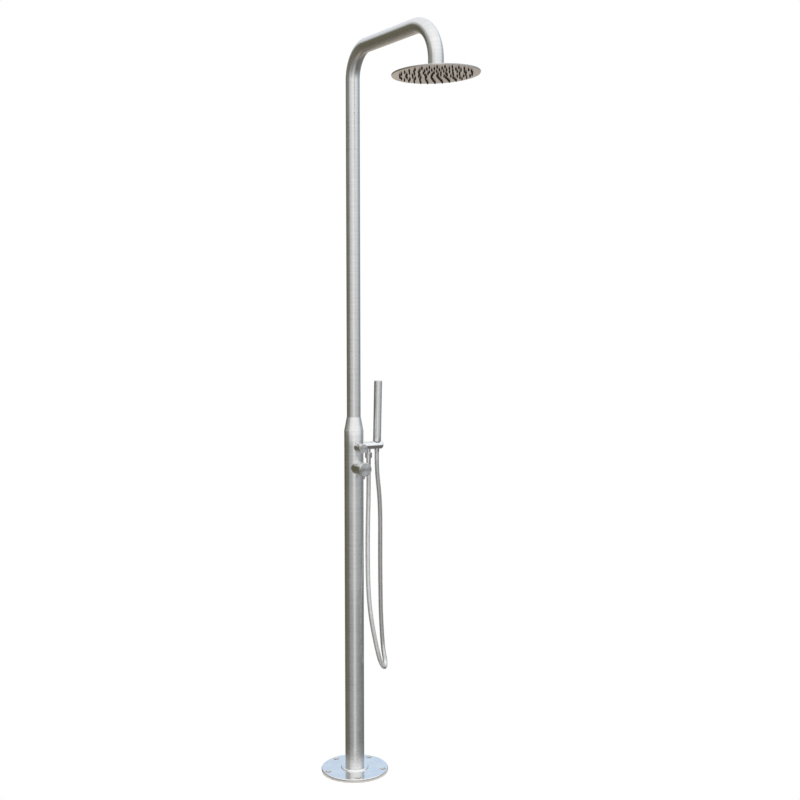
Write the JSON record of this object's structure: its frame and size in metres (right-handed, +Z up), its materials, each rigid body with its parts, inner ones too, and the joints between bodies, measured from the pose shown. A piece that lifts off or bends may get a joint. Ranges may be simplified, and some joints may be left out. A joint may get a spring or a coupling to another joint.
{
  "type": "outdoor shower post",
  "caption": "Free-standing stainless outdoor shower: round column on a bolted floor plate, bent overhead arm with a flat rain head, lever mixer, diverter and handset.",
  "frame": {"origin": "centre of the floor plate's underside, on the column's axis", "axes": "+Z up along the column, +X along the overhead arm and out of the two valve knobs, +Y along the side bar that carries the handset"},
  "size_m": [0.7073, 0.2502, 2.2625],
  "materials": {
    "satin_steel": "satin brushed stainless steel, tubes and head",
    "bright_steel": "polished stainless steel, plate, knobs and bar",
    "nozzle_rubber": "black silicone nozzles",
    "seal_rubber": "black sealing washers",
    "valve_brass": "cast brass valve bodies and couplings",
    "copper_pipe": "plain drawn copper water pipe",
    "cartridge_plastic": "moulded valve cartridge",
    "seat_plastic": "slippery moulded ball seat",
    "hose_metal": "ribbed metal shower hose"
  },
  "bodies": {
    "post": {"base_plate": "bright_steel", "base_collar": "bright_steel", "column_tube": "satin_steel", "reducer_cone": "satin_steel", "riser_plug": "satin_steel", "riser_arm_tube": "satin_steel", "ball_nipple": "bright_steel", "mixer_valve_body": "valve_brass", "mixer_housing": "bright_steel", "mixer_cartridge": "cartridge_plastic", "mixer_cartridge_nut": "valve_brass", "diverter_valve_body": "valve_brass", "diverter_housing": "bright_steel", "diverter_cartridge": "cartridge_plastic", "hot_inlet_pipe": "copper_pipe", "hot_inlet_coupling": "valve_brass", "cold_inlet_pipe": "copper_pipe", "cold_inlet_coupling": "valve_brass", "mixed_water_pipe": "copper_pipe", "riser_feed_pipe": "copper_pipe", "holder_bar": "bright_steel", "outlet_nipple": "bright_steel", "hose_outlet_washer": "seal_rubber", "hose_outlet_ferrule": "bright_steel", "hose_outlet_nut": "bright_steel", "shower_hose": "hose_metal"},
    "swivel": {"ball_seat_ring": "seat_plastic"},
    "head": {"ball_nut": "bright_steel", "head_back_shell": "satin_steel", "head_face_plate": "satin_steel", "head_nozzles": "nozzle_rubber"},
    "mixer": {"mixer_stem": "valve_brass", "mixer_knob": "bright_steel", "mixer_lever_pin": "bright_steel"},
    "diverter": {"diverter_stem": "valve_brass", "diverter_knob": "bright_steel", "diverter_lever_pin": "bright_steel"},
    "hose_end": {"hose_cone_ferrule": "bright_steel"},
    "handset": {"hose_cone_nut": "bright_steel", "handset_washer": "seal_rubber", "handset_inlet": "valve_brass", "handset_tube": "satin_steel", "handset_spray_plate": "satin_steel", "handset_end_cap": "satin_steel"}
  },
  "joints": [
    {"name": "head_turn", "type": "hinge", "parent": "post", "child": "swivel", "pos_m": [0.48, 0, 2.103], "axis": [0, 0, 1], "continuous": true},
    {"name": "head_tilt", "type": "hinge", "parent": "swivel", "child": "head", "pos_m": [0.48, 0, 2.103], "axis": [-0.4695, 0.8829, 0], "range_deg": [-12, 17.5]},
    {"name": "mixer_turn", "type": "hinge", "parent": "post", "child": "mixer", "pos_m": [0.064, 0, 0.971], "axis": [1, 0, 0], "range_deg": [0, 100]},
    {"name": "diverter_turn", "type": "hinge", "parent": "post", "child": "diverter", "pos_m": [0.053, 0, 1.035], "axis": [1, 0, 0], "range_deg": [0, 90]},
    {"name": "handset_lift", "type": "slide", "parent": "post", "child": "hose_end", "axis": [0, 0.0227, 0.9997], "range_m": [0, 0.07]},
    {"name": "handset_turn", "type": "hinge", "parent": "hose_end", "child": "handset", "pos_m": [0, 0.082, 1.035], "axis": [0, 0.0227, 0.9997], "continuous": true}
  ]
}
